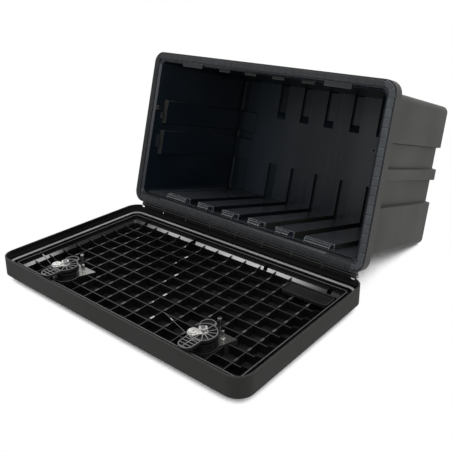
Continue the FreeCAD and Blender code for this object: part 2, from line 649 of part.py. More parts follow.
def cam_arm(x, y):
    """Cam with open cells between a centre rib, cross ribs and the radial ribs of its fan."""
    low, high = CAM_BOTTOM, CAM_TOP
    web = CAM_WEB / 2
    cells = cam_outline(x, y, CAM_WEB, low + CAM_FLOOR, high + OVERCUT)
    ribs = [box(x - web, x + web, y - CAM_ARM_LENGTH, y + CAM_HEAD_Y + CAM_HEAD_R, low, high),
            rod(CAM_HUB_R, x, y, low, high)]
    arc = rod(CAM_FAN_R + web, x, y, low, high).cut(rod(CAM_FAN_R - web, x, y, low, high))
    ribs.append(arc)
    level = y - CAM_FAN_R + CAM_RIB_PITCH / 2
    while level > y - CAM_ARM_LENGTH + CAM_WEB:
        ribs.append(box(x - CAM_ARM_WIDTH / 2, x + CAM_ARM_WIDTH / 2, level - web, level + web, low, high))
        level -= CAM_RIB_PITCH
    for degrees in CAM_FAN_RIBS:
        rib = box(0, CAM_FAN_R, -web, web, low, high)
        rib.Placement = FreeCAD.Placement(V(x, y, 0), FreeCAD.Rotation(V(0, 0, 1), degrees))
        ribs.append(rib)
    form = cam_outline(x, y, 0.0, low, high)
    return form.cut(cells.cut(joined(ribs)))


def hexagon(x, y, across, low, high):
    reach = across / math.sqrt(3)
    turns = [math.radians(60 * k + NUT_TURN) for k in range(6)]
    corners = [(x + reach * math.cos(t), y + reach * math.sin(t), low) for t in turns]
    return polygon(corners, (0, 0, high - low))


# Latches: bearing, post and eyelet stay on the door, the rest turns with the knob
door_nodes = {"door_shell": door_shell, "door_inner_frame": inner_frame}
knob_nodes = {}
plug_nodes = {}
knob_top = DISH_TOP - DISH_WALL - REST_GAP
lever_top = CAM_TOP + LEVER_THICKNESS
for side, x in latches:
    y = latch_y
    bearing = joined([rod(BEARING_R, x, y, DISH_TOP, DISH_TOP + BEARING_FLANGE),
                      rod(BEARING_WAIST_R, x, y, DISH_TOP, BEARING_TOP),
                      rod(BEARING_R, x, y, BEARING_TOP - BEARING_FLANGE, BEARING_TOP)])
    door_nodes["bearing_" + side] = bearing.cut(rod(SPINDLE_R + SPINDLE_RUN_FIT, x, y, 0, DOOR_HEIGHT))
    post = rod(POST_R, x + POST_X, y + POST_Y, DISH_TOP, POST_TOP)
    crown = max(post.Faces, key=lambda face: face.CenterOfMass.z)
    door_nodes["stop_post_" + side] = post.makeChamfer(POST_CHAMFER, crown.Edges)
    stem = rod(EYELET_R, x + EYELET_X, y + EYELET_Y, DISH_TOP, EYELET_TOP)
    foot = rod(EYELET_FOOT_R, x + EYELET_X, y + EYELET_Y, DISH_TOP, DISH_TOP + EYELET_FOOT_HEIGHT)
    door_nodes["eyelet_" + side] = stem.fuse(foot).removeSplitter()

    base = rod(KNOB_R, x, y, knob_top - KNOB_BASE, knob_top)
    grip = slab(x - GRIP_WIDTH / 2, x + GRIP_WIDTH / 2, y - GRIP_LENGTH / 2, y + GRIP_LENGTH / 2,
                (GRIP_WIDTH - GRIP_END_FLAT) / 2, KNOB_RECESS, knob_top)
    plug_bore = rod(PLUG_R + PLUG_RUN_FIT, x, y, 0, knob_top - KNOB_BASE)
    knob_nodes["knob_" + side] = joined([base, grip]).cut(plug_bore)
    spindle_top = lever_top + NUT_HEIGHT + SPINDLE_OVER_NUT
    spindle = rod(SPINDLE_R, x, y, knob_top, CAM_BOTTOM)
    spindle = spindle.fuse(rod(SPINDLE_END_R, x, y, CAM_BOTTOM, spindle_top))
    knob_nodes["spindle_" + side] = spindle.removeSplitter()
    through = rod(SPINDLE_END_R, x, y, 0, DOOR_HEIGHT * 2)
    knob_nodes["cam_arm_" + side] = cam_arm(x, y).cut(through)
    lobe_x, lobe_y = x + LEVER_X, y + LEVER_Y
    reach = math.hypot(LEVER_X, LEVER_Y)
    bridge = box(0, reach, -LEVER_WAIST, LEVER_WAIST, CAM_TOP, lever_top)
    heading = math.degrees(math.atan2(LEVER_Y, LEVER_X))
    bridge.Placement = FreeCAD.Placement(V(x, y, 0), FreeCAD.Rotation(V(0, 0, 1), heading))
    lever = joined([bridge, rod(LEVER_WAIST, x, y, CAM_TOP, lever_top),
                    rod(LEVER_R, lobe_x, lobe_y, CAM_TOP, lever_top),
                    rod(LEVER_CAP_R, lobe_x, lobe_y, CAM_TOP, lever_top + LEVER_CAP_HEIGHT)])
    rivet_hole = rod(LEVER_HOLE_R, lobe_x, lobe_y, lever_top, lever_top + LEVER_CAP_HEIGHT)
    knob_nodes["lever_plate_" + side] = lever.cut(through).cut(rivet_hole)
    nut = hexagon(x, y, NUT_ACROSS_FLATS, lever_top, lever_top + NUT_HEIGHT)
    knob_nodes["cam_nut_" + side] = nut.cut(through)
    plug = rod(PLUG_R, x, y, KNOB_RECESS, knob_top - KNOB_BASE)
    slot_x, slot_y = KEY_SLOT_WIDTH / 2, KEY_SLOT_LENGTH / 2
    slot = box(x - slot_x, x + slot_x, y - slot_y, y + slot_y, 0, KNOB_RECESS + KEY_SLOT_DEPTH)
    plug_nodes["key_plug_" + side] = plug.cut(slot)

    near = V(x + WIRE_NEAR[0], y + WIRE_NEAR[1], WIRE_NEAR[2])
    far = V(x, y, 0) + V(*WIRE_FAR[side])
    run = far - near
    wire = Part.makeCylinder(WIRE_R, run.Length, near, run)
    sleeve_start = near + run * CRIMP_PLACE
    sleeve = Part.makeCylinder(CRIMP_R, CRIMP_LENGTH, sleeve_start, run)
    door_nodes["keeper_wire_" + side] = wire
    door_nodes["crimp_sleeve_" + side] = sleeve.cut(wire)

# Tray for papers
tray = slab(tray_x[0], tray_x[1], tray_y[0], tray_y[1], TRAY_CORNER_R, RIB_TOP, RIB_TOP + TRAY_HEIGHT)
well = slab(tray_x[0] + TRAY_WALL, tray_x[1] - TRAY_WALL, tray_y[0] + TRAY_WALL, tray_y[1] - TRAY_WALL,
            TRAY_CORNER_R - TRAY_WALL, RIB_TOP + TRAY_WALL, RIB_TOP + TRAY_HEIGHT + OVERCUT)
door_nodes["paper_tray"] = tray.cut(well)

box_nodes = {"tub": tub, "flange_seal": seal, "hinge_pin": pin}
for side in ("left", "right"):
    box_nodes["cord_eye_" + side] = eyes[side]
    box_nodes["pin_cap_" + side] = caps[side]
turning_nodes = dict(knob_nodes, **plug_nodes)

# Row frame: the middle of the whole part on the floor
lean_back = FreeCAD.Placement(V(0, PIN_Y, PIN_Z), FreeCAD.Rotation(V(1, 0, 0), -LEAN))
to_hinge = FreeCAD.Placement(V(0, -PIN_DEPTH, PIN_DROP), FreeCAD.Rotation())
seat = lean_back.multiply(to_hinge)
for shape in box_nodes.values():
    shape.Placement = seat.multiply(shape.Placement)
parts = {**box_nodes, **door_nodes, **turning_nodes}
everything = FreeCAD.BoundBox()
for shape in parts.values():
    everything.add(shape.optimalBoundingBox(False, False))
middle = FreeCAD.Placement(V(0, -everything.Center.y, 0), FreeCAD.Rotation())
for name, shape in parts.items():
    shape.Placement = middle.multiply(shape.Placement)
    shape.exportStep("parts/" + name + ".step")
    print(name, shape.isValid(), len(shape.Solids), round(shape.Volume / 1000), "cm3")
print("lean", round(LEAN, 3), "hinge", round(PIN_Y - everything.Center.y, 3), PIN_Z)
print("overall", everything)
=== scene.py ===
import json
import math

import bpy
from mathutils import Matrix, Vector


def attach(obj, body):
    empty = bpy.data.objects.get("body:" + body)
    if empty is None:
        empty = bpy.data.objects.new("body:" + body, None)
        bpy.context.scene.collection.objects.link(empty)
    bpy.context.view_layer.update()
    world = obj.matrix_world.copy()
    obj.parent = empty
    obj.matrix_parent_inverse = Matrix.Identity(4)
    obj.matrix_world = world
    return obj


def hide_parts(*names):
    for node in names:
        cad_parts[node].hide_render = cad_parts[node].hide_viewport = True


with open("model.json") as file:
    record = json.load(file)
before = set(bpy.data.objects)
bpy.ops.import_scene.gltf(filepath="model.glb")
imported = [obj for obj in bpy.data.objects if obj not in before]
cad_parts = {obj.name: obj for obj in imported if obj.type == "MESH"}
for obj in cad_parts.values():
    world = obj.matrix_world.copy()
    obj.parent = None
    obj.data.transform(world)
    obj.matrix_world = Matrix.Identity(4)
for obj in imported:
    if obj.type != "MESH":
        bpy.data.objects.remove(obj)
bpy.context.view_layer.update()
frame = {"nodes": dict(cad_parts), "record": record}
nodes = frame["nodes"]
scene = bpy.context.scene
print("stage: frame loaded")

# The tub's own directions: x across, depth from the opening, up along the opening
tubSeat = {"lean": 14.8387, "hinge": (0.0, -0.016694, 0.06686), "pinDepth": 0.02086, "pinDrop": 0.0104}
lean = math.radians(tubSeat["lean"])
xWay, yWay, zWay = (1, 0, 0), (0, 1, 0), (0, 0, 1)
depthWay = Vector((0, math.cos(lean), -math.sin(lean)))
upWay = Vector((0, math.sin(lean), math.cos(lean)))
tubOrigin = Vector(tubSeat["hinge"]) - depthWay * tubSeat["pinDepth"] + upWay * tubSeat["pinDrop"]
tubFront = tubOrigin.dot(depthWay)
tubBase = tubOrigin.dot(upWay)


def boxPoint(x, depth, up):
    return tubOrigin + Vector((x, 0, 0)) + depthWay * depth + upWay * up


# Node helpers: each links a socket or sets a plain value
def feed(tree, value, socket):
    if hasattr(value, "is_linked"):
        tree.links.new(value, socket)
    elif value is not None:
        socket.default_value = value


def newGroup(name, ins, outs):
    group = bpy.data.node_groups.new(name, "ShaderNodeTree")
    for label, kind, default in ins:
        socket = group.interface.new_socket(name=label, in_out="INPUT", socket_type=kind)
        if default is not None:
            socket.default_value = default
    for label, kind in outs:
        group.interface.new_socket(name=label, in_out="OUTPUT", socket_type=kind)
    return group, group.nodes.new("NodeGroupInput"), group.nodes.new("NodeGroupOutput")


def vectorMath(tree, operation, first, second=None):
    node = tree.nodes.new("ShaderNodeVectorMath")
    node.operation = operation
    for socket, value in zip(node.inputs, (first, second)):
        feed(tree, value, socket)
    return node.outputs["Value" if operation == "DOT_PRODUCT" else "Vector"]


def plainMath(tree, operation, first, second=None):
    node = tree.nodes.new("ShaderNodeMath")
    node.operation = operation
    for socket, value in zip(node.inputs, (first, second)):
        feed(tree, value, socket)
    return node.outputs["Value"]


def productOf(tree, *masks):
    product = masks[0]
    for mask in masks[1:]:
        product = plainMath(tree, "MULTIPLY", product, mask)
    return product


def restOf(tree, mask):
    return plainMath(tree, "SUBTRACT", 1.0, mask)


def smoothStep(tree, value, low, high):
    node = tree.nodes.new("ShaderNodeMapRange")
    node.interpolation_type = "SMOOTHSTEP"
    feed(tree, value, node.inputs["Value"])
    feed(tree, low, node.inputs["From Min"])
    feed(tree, high, node.inputs["From Max"])
    return node.outputs["Result"]


def stepUp(tree, value, start, soft):
    return smoothStep(tree, value, start, plainMath(tree, "ADD", start, soft))


# Moulded grain: a fine bump, and a broad haze that sways roughness and tone
grainMap = {"fineDetail": 3.0, "broadDetail": 4.0, "hazeLow": 0.3, "hazeHigh": 0.7, "bumpDistance": 0.0004}


def makeGrain():
    group, entry, leave = newGroup(
        "mouldedGrain",
        [("Grain", "NodeSocketFloat", 900.0), ("Depth", "NodeSocketFloat", 0.15),
         ("Haze", "NodeSocketFloat", 9.0), ("Rough low", "NodeSocketFloat", 0.35),
         ("Rough high", "NodeSocketFloat", 0.5)],
        [("Roughness", "NodeSocketFloat"), ("Normal", "NodeSocketVector"), ("Haze", "NodeSocketFloat")])
    n, link = group.nodes, group.links.new
    coords = n.new("ShaderNodeTexCoord")
    fine = n.new("ShaderNodeTexNoise")
    fine.inputs["Detail"].default_value = grainMap["fineDetail"]
    link(coords.outputs["Object"], fine.inputs["Vector"])
    link(entry.outputs["Grain"], fine.inputs["Scale"])
    broad = n.new("ShaderNodeTexNoise")
    broad.inputs["Detail"].default_value = grainMap["broadDetail"]
    link(coords.outputs["Object"], broad.inputs["Vector"])
    link(entry.outputs["Haze"], broad.inputs["Scale"])
    spread = n.new("ShaderNodeMapRange")
    link(broad.outputs["Fac"], spread.inputs["Value"])
    spread.inputs["From Min"].default_value = grainMap["hazeLow"]
    spread.inputs["From Max"].default_value = grainMap["hazeHigh"]
    link(entry.outputs["Rough low"], spread.inputs["To Min"])
    link(entry.outputs["Rough high"], spread.inputs["To Max"])
    bump = n.new("ShaderNodeBump")
    bump.inputs["Distance"].default_value = grainMap["bumpDistance"]
    link(entry.outputs["Depth"], bump.inputs["Strength"])
    link(fine.outputs["Fac"], bump.inputs["Height"])
    link(spread.outputs["Result"], leave.inputs["Roughness"])
    link(bump.outputs["Normal"], leave.inputs["Normal"])
    link(broad.outputs["Fac"], leave.inputs["Haze"])
    return group


# How softly the masks below run out
maskEdges = {"facing": 0.01, "tilt": 0.02, "highlightLow": 0.02, "highlightHigh": 0.2, "highlightSamples": 6}


# Mask of the faces that look towards a point
def makeFacing():
    group, entry, leave = newGroup(
        "facingMask", [("Centre", "NodeSocketVector", None)], [("Mask", "NodeSocketFloat")])
    coords = group.nodes.new("ShaderNodeTexCoord")
    towards = vectorMath(group, "SUBTRACT", entry.outputs["Centre"], coords.outputs["Object"])
    sight = vectorMath(group, "NORMALIZE", towards)
    turned = vectorMath(group, "DOT_PRODUCT", sight, coords.outputs["Normal"])
    mask = smoothStep(group, turned, -maskEdges["facing"], maskEdges["facing"])
    group.links.new(mask, leave.inputs["Mask"])
    return group


# Mask of a slice of space across an axis
def makeSlice():
    group, entry, leave = newGroup(
        "sliceMask",
        [("Axis", "NodeSocketVector", None), ("Low", "NodeSocketFloat", 0.0),
         ("High", "NodeSocketFloat", 1.0), ("Soft", "NodeSocketFloat", 0.0004)],
        [("Mask", "NodeSocketFloat")])
    coords = group.nodes.new("ShaderNodeTexCoord")
    along = vectorMath(group, "DOT_PRODUCT", coords.outputs["Object"], entry.outputs["Axis"])
    above = stepUp(group, along, entry.outputs["Low"], entry.outputs["Soft"])
    over = stepUp(group, along, entry.outputs["High"], entry.outputs["Soft"])
    group.links.new(plainMath(group, "SUBTRACT", above, over), leave.inputs["Mask"])
    return group


# Mask of faces whose upward tilt lies between two values
def makeTilt():
    group, entry, leave = newGroup(
        "tiltMask", [("Low", "NodeSocketFloat", 0.5), ("High", "NodeSocketFloat", 1.1)],
        [("Mask", "NodeSocketFloat")])
    coords = group.nodes.new("ShaderNodeTexCoord")
    rise = vectorMath(group, "DOT_PRODUCT", coords.outputs["Normal"], zWay)
    above = stepUp(group, rise, entry.outputs["Low"], maskEdges["tilt"])
    over = stepUp(group, rise, entry.outputs["High"], maskEdges["tilt"])
    group.links.new(plainMath(group, "SUBTRACT", above, over), leave.inputs["Mask"])
    return group


# Mask of rounded edges, where painted highlights are laid
def makeEdge():
    group, entry, leave = newGroup(
        "edgeMask", [("Radius", "NodeSocketFloat", 0.001)], [("Mask", "NodeSocketFloat")])
    bevel = group.nodes.new("ShaderNodeBevel")
    bevel.samples = maskEdges["highlightSamples"]
    group.links.new(entry.outputs["Radius"], bevel.inputs["Radius"])
    geometry = group.nodes.new("ShaderNodeNewGeometry")
    match = vectorMath(group, "DOT_PRODUCT", bevel.outputs["Normal"], geometry.outputs["True Normal"])
    mask = smoothStep(group, restOf(group, match), maskEdges["highlightLow"], maskEdges["highlightHigh"])
    group.links.new(mask, leave.inputs["Mask"])
    return group


# Fine streaks along the tub's height: they lay painted glint streaks on the inner walls and sway their
# roughness
streakMap = {"across": 260.0, "along": 3.0, "scale": 1.0, "detail": 2.0}


def makeStreaks():
    group, entry, leave = newGroup(
        "glintAndRoughStreaks", [("Across", "NodeSocketFloat", streakMap["across"]),
                         ("Along", "NodeSocketFloat", streakMap["along"])], [("Streak", "NodeSocketFloat")])
    coords = group.nodes.new("ShaderNodeTexCoord")
    side = vectorMath(group, "DOT_PRODUCT", coords.outputs["Object"], xWay)
    rise = vectorMath(group, "DOT_PRODUCT", coords.outputs["Object"], tuple(upWay))
    combine = group.nodes.new("ShaderNodeCombineXYZ")
    group.links.new(productOf(group, side, entry.outputs["Across"]), combine.inputs["X"])
    group.links.new(productOf(group, rise, entry.outputs["Along"]), combine.inputs["Y"])
    noise = group.nodes.new("ShaderNodeTexNoise")
    noise.inputs["Scale"].default_value = streakMap["scale"]
    noise.inputs["Detail"].default_value = streakMap["detail"]
    group.links.new(combine.outputs["Vector"], noise.inputs["Vector"])
    group.links.new(noise.outputs["Fac"], leave.inputs["Streak"])
    return group


grainGroup = makeGrain()
facingGroup = makeFacing()
sliceGroup = makeSlice()
tiltGroup = makeTilt()
edgeGroup = makeEdge()
streakGroup = makeStreaks()
print("stage: shader groups")

# Finishes: a base look, then zones laid over it by masks
hazeRamp = {"low": 0.3, "high": 0.72}
plasticSpecular = 0.28


def useGroup(tree, group, **values):
    node = tree.nodes.new("ShaderNodeGroup")
    node.node_tree = group
    for label, value in values.items():
        node.inputs[label.replace("_", " ")].default_value = value
    return node


def facingMask(tree, centre):
    return useGroup(tree, facingGroup, Centre=centre).outputs["Mask"]


def sliceMask(tree, axis, low, high, soft=0.0004):
    return useGroup(tree, sliceGroup, Axis=axis, Low=low, High=high, Soft=soft).outputs["Mask"]


def tiltMask(tree, low, high):
    return useGroup(tree, tiltGroup, Low=low, High=high).outputs["Mask"]


def edgeMask(tree, radius):
    return useGroup(tree, edgeGroup, Radius=radius).outputs["Mask"]


def rampOf(tree, factor, look):
    ramp = tree.nodes.new("ShaderNodeValToRGB")
    low, high = ramp.color_ramp.elements
    low.position, high.position = hazeRamp["low"], hazeRamp["high"]
    low.color = (*look["dark"], 1)
    high.color = (*look["light"], 1)
    tree.links.new(factor, ramp.inputs["Fac"])
    return ramp.outputs["Color"]


def mixOf(tree, kind, factor, first, second):
    node = tree.nodes.new("ShaderNodeMix")
    node.data_type = kind
    tree.links.new(factor, node.inputs["Factor"])
    suffix = "_Color" if kind == "RGBA" else "_Float"
    for label, value in (("A", first), ("B", second)):
        feed(tree, value, next(s for s in node.inputs if s.identifier == label + suffix))
    return next(s for s in node.outputs if s.identifier == "Result" + suffix)


def startFinish(name, look):
    material = bpy.data.materials.new(name)
    material.use_nodes = True
    tree = material.node_tree
    grain = useGroup(tree, grainGroup, Grain=look["grain"], Depth=look["depth"], Haze=look["haze"],
                     Rough_low=look["rough"][0], Rough_high=look["rough"][1])
    return {"material": material, "tree": tree, "grain": grain,
            "colour": rampOf(tree, grain.outputs["Haze"], look), "roughness": grain.outputs["Roughness"],
            "specular": look.get("specular", plasticSpecular), "metal": look.get("metal", 0.0)}


def addZone(finish, mask, look):
    tree = finish["tree"]
    colour = rampOf(tree, finish["grain"].outputs["Haze"], look)
    finish["colour"] = mixOf(tree, "RGBA", mask, finish["colour"], colour)
    finish["roughness"] = mixOf(tree, "FLOAT", mask, finish["roughness"], look["rough"])
    specular = look.get("specular", plasticSpecular)
    finish["specular"] = mixOf(tree, "FLOAT", mask, finish["specular"], specular)


def closeFinish(finish):
    tree = finish["tree"]
    shader = tree.nodes["Principled BSDF"]
    tree.links.new(finish["colour"], shader.inputs["Base Color"])
    tree.links.new(finish["roughness"], shader.inputs["Roughness"])
    tree.links.new(finish["grain"].outputs["Normal"], shader.inputs["Normal"])
    feed(tree, finish["specular"], shader.inputs["Specular IOR Level"])
    shader.inputs["Metallic"].default_value = finish["metal"]
    return finish["material"]


def plainFinish(name, look):
    return closeFinish(startFinish(name, look))


# Tub: warm grey outside, a smoother flange front; blue-black inside from painted shade and a painted bluish
# reflection; painted highlights on its rounded edges
tubStyle = {
    "outside": {"dark": (0.018, 0.018, 0.0156), "light": (0.025, 0.025, 0.0217), "grain": 900.0,
                "depth": 0.25, "haze": 6.0, "rough": (0.45, 0.6)},
    "flange": {"dark": (0.008, 0.0092, 0.0105), "light": (0.014, 0.0155, 0.0175), "rough": 0.42,
               "specular": 0.22},
    # Painted shade along the flange front's lower edge, by the hinge
    "shadedLowFlange": {"dark": (0.0030, 0.0036, 0.0042), "light": (0.0055, 0.0063, 0.0072), "rough": 0.42,
                  "specular": 0.15},
    # Inside faces: painted shade, tinted blue as a painted reflection
    "inside": {"dark": (0.0028, 0.0062, 0.0108), "light": (0.0052, 0.0092, 0.0148), "rough": 0.32,
               "specular": 0.34},
    # Painted light on the back wall's left stretch
    "litBackLeft": {"dark": (0.0110, 0.0165, 0.0235), "light": (0.0180, 0.0260, 0.0360), "rough": 0.4,
                 "specular": 0.36},
    "backMiddle": {"dark": (0.0028, 0.0062, 0.0108), "light": (0.0052, 0.0092, 0.0148), "rough": 0.36,
                   "specular": 0.23},
    # Painted glint streaks on the inner walls
    "streak": {"dark": (0.0160, 0.0200, 0.0260), "light": (0.0220, 0.0270, 0.0340), "rough": 0.38,
               "specular": 0.34},
    # Painted light on the inside faces that look up
    "floor": {"dark": (0.0200, 0.0225, 0.0268), "light": (0.0300, 0.0331, 0.0387), "rough": 0.27,
              "specular": 0.41},
    # Painted shade on the lower lip just inside the mouth
    "shadedSill": {"dark": (0.0030, 0.0038, 0.0046), "light": (0.0055, 0.0066, 0.0078), "rough": 0.5,
             "specular": 0.10},
    # Painted shade in the floor channels
    "shadedChannel": {"dark": (0.0050, 0.0062, 0.0080), "light": (0.0082, 0.0100, 0.0130), "rough": 0.3},
    # Painted shade in the back pockets
    "shadedPocket": {"dark": (0.0032, 0.0062, 0.0102), "light": (0.0055, 0.0094, 0.0148), "rough": 0.38,
               "specular": 0.27},
    "corner": {"dark": (0.0040, 0.0068, 0.0100), "light": (0.0065, 0.0100, 0.0140), "rough": 0.55,
               "specular": 0.19},
    # Painted highlights on rounded edges: inside, on the tabs and on the flange rim
    "insideEdgeHighlight": {"dark": (0.016, 0.019, 0.023), "light": (0.028, 0.032, 0.037), "rough": 0.35},
    "tabEdgeHighlight": {"dark": (0.42, 0.425, 0.43), "light": (0.60, 0.605, 0.61), "rough": 0.35},
    "rimEdgeHighlight": {"dark": (0.08, 0.08, 0.085), "light": (0.12, 0.12, 0.125), "rough": 0.35},
    "lowRimEdgeHighlight": {"dark": (0.08, 0.082, 0.085), "light": (0.13, 0.132, 0.136), "rough": 0.35},
    # Where those looks lie: from and to, and how softly they run out where that is wide
    "depthZones": {
        "flangeFront": (-0.003, 0.0018), "shelf": (0.004, 0.041), "shadedSill": (-0.001, 0.0235),
        "backWall": (0.40, 1.0, 0.002), "backPockets": (0.4225, 1.0), "corner": (0.405, 0.44, 0.002),
        "rim": (-0.003, 0.045, 0.002)},
    "riseZones": {
        "shadedLowFlange": (-0.02, 0.024, 0.002), "lower": (0.0276, 0.22), "shadedSill": (0.018, 0.0345),
        "floorChannels": (-0.1, 0.0375), "tabs": (0.0276, 0.045), "lowRim": (-0.02, 0.030, 0.002)},
    "sideZones": {
        "mouth": (-0.3672, 0.3672), "litBackLeft": (-0.37, -0.22, 0.12), "backMiddle": (-0.14, 0.07, 0.08),
        "channels": (-0.29, 0.29), "corner": (-0.375, -0.340, 0.002), "lit": (-0.30, 0.4, 0.06)},
    "centre": (0, 0.12, 0.23), "floorTilt": (0.6, 0.8), "streaks": (0.45, 0.85), "streakMiddle": 0.5,
    "streakSwing": 0.22, "edgeRadius": 0.0012, "tabRadius": 0.0025}


def makeTubPlastic():
    finish = startFinish("tubPlastic", tubStyle["outside"])
    tree = finish["tree"]

    def zoneMask(way, name):
        axis, start = {"depth": (depthWay, tubFront), "rise": (upWay, tubBase), "side": (xWay, 0.0)}[way]
        low, high, *soft = tubStyle[way + "Zones"][name]
        return sliceMask(tree, axis, start + low, start + high, *soft)

    def paint(look, *masks):
        addZone(finish, productOf(tree, *masks), tubStyle[look])

    flangeFront = zoneMask("depth", "flangeFront")
    paint("flange", flangeFront)
    # Painted shade along the flange front's lower edge
    paint("shadedLowFlange", flangeFront, zoneMask("rise", "shadedLowFlange"))
    mouth = zoneMask("side", "mouth")
    shelf = zoneMask("depth", "shelf")
    ledge = productOf(tree, shelf, zoneMask("rise", "lower"), mouth)
    # Faces turned inward get the painted shade and the bluish painted reflection
    inside = plainMath(tree, "MAXIMUM", facingMask(tree, boxPoint(*tubStyle["centre"])), ledge)
    paint("inside", inside)
    backWall = productOf(tree, zoneMask("depth", "backWall"), inside)
    # Painted light on the back wall's left stretch; the middle stretch keeps the inside colour and is only
    # made less glossy
    for stretch in ("litBackLeft", "backMiddle"):
        paint(stretch, backWall, zoneMask("side", stretch))
    # Painted glint streaks on the inside
    streak = useGroup(tree, streakGroup).outputs["Streak"]
    paint("streak", inside, smoothStep(tree, streak, *tubStyle["streaks"]))
    # Painted light on the upward-facing inside faces
    normal = tree.nodes.new("ShaderNodeTexCoord").outputs["Normal"]
    floorTilt = smoothStep(tree, vectorMath(tree, "DOT_PRODUCT", normal, upWay), *tubStyle["floorTilt"])
    paint("floor", inside, floorTilt)
    # Painted shade on the lower lip just inside the mouth
    paint("shadedSill", zoneMask("depth", "shadedSill"), zoneMask("rise", "shadedSill"), mouth)
    # Painted shade in the floor channels
    channels = zoneMask("side", "channels")
    paint("shadedChannel", zoneMask("rise", "floorChannels"), restOf(tree, shelf), channels, inside)
    # Painted shade in the back pockets
    paint("shadedPocket", zoneMask("depth", "backPockets"), channels, inside)
    paint("corner", zoneMask("side", "corner"), zoneMask("depth", "corner"), inside)
    # Painted highlights on the rounded edges
    edgeHighlight = edgeMask(tree, tubStyle["edgeRadius"])
    broadEdgeHighlight = edgeMask(tree, tubStyle["tabRadius"])
    rim = zoneMask("depth", "rim")
    paint("insideEdgeHighlight", edgeHighlight, inside, zoneMask("side", "lit"))
    paint("tabEdgeHighlight", broadEdgeHighlight, ledge, zoneMask("rise", "tabs"))
    paint("rimEdgeHighlight", edgeHighlight, rim)
    paint("lowRimEdgeHighlight", broadEdgeHighlight, rim, zoneMask("rise", "lowRim"))
    # The streaks also sway the roughness of the walls, but not of the floor
    swing = productOf(tree, plainMath(tree, "SUBTRACT", streak, tubStyle["streakMiddle"]),
                      tubStyle["streakSwing"])
    sway = productOf(tree, swing, productOf(tree, inside, restOf(tree, floorTilt)))
    finish["roughness"] = plainMath(tree, "ADD", finish["roughness"], sway)
    return closeFinish(finish)


# Door shell: matt grey outside; black inside from painted shade, with painted reflections on some cell
# floors; painted light on the shoulders' flat tops, brighter on their left half, and a painted highlight on
# the rim
doorStyle = {
    "outside": {"dark": (0.0110, 0.0110, 0.0104), "light": (0.0165, 0.0165, 0.0154), "grain": 900.0,
                "depth": 0.25, "haze": 7.0, "rough": (0.5, 0.65), "specular": 0.17},
    # Inside faces: painted shade
    "inside": {"dark": (0.0030, 0.0030, 0.0031), "light": (0.0075, 0.0075, 0.0077), "rough": 0.3},
    # Painted reflections on some cell floors
    "cellReflection": {"dark": (0.010, 0.010, 0.0102), "light": (0.020, 0.020, 0.0203), "rough": 0.3},
    # Painted light on the shoulders' flat tops, with a painted highlight on their left half
    "shoulder": {"dark": (0.028, 0.028, 0.027), "light": (0.045, 0.045, 0.043), "rough": 0.2,
                 "specular": 0.55},
    "shoulderHighlight": {"dark": (0.16, 0.16, 0.154), "light": (0.24, 0.24, 0.231), "rough": 0.2,
                       "specular": 0.55},
    # Painted highlight on the rim's rounded edge
    "rim": {"dark": (0.06, 0.06, 0.058), "light": (0.09, 0.09, 0.086), "rough": 0.4},
    "zones": {
        "centre": (0, -0.2574, 0.0625), "reflectionScale": 26.0, "glow": (0.5, 0.72), "flat": (0.9, 1.2),
        "cellFloor": (0.0035, 0.0045), "shoulder": (0.0274, 0.0281), "leftHalf": (-0.4, 0.0),
        "rim": (0.062, 0.0655), "edgeRadius": 0.0012}}


def makeDoorPlastic():
    zones = doorStyle["zones"]
    finish = startFinish("doorPlastic", doorStyle["outside"])
    tree = finish["tree"]
    # Painted shade on the faces turned inward
    addZone(finish, facingMask(tree, zones["centre"]), doorStyle["inside"])
    # Painted reflections in soft patches on the cell floors
    patch = tree.nodes.new("ShaderNodeTexNoise")
    patch.inputs["Scale"].default_value = zones["reflectionScale"]
    tree.links.new(tree.nodes.new("ShaderNodeTexCoord").outputs["Object"], patch.inputs["Vector"])
    glow = smoothStep(tree, patch.outputs["Fac"], *zones["glow"])
    cellFloor = sliceMask(tree, zWay, *zones["cellFloor"])
    addZone(finish, productOf(tree, cellFloor, glow), doorStyle["cellReflection"])
    # Painted light on the shoulders' flat tops, with a painted highlight on their left half
    level = sliceMask(tree, zWay, *zones["shoulder"])
    shoulder = productOf(tree, level, tiltMask(tree, *zones["flat"]))
    addZone(finish, shoulder, doorStyle["shoulder"])
    leftHalf = sliceMask(tree, xWay, *zones["leftHalf"])
    addZone(finish, productOf(tree, shoulder, leftHalf), doorStyle["shoulderHighlight"])
    # Painted highlight on the rim's rounded edge
    rim = productOf(tree, edgeMask(tree, zones["edgeRadius"]), sliceMask(tree, zWay, *zones["rim"]))
    addZone(finish, rim, doorStyle["rim"])
    return closeFinish(finish)


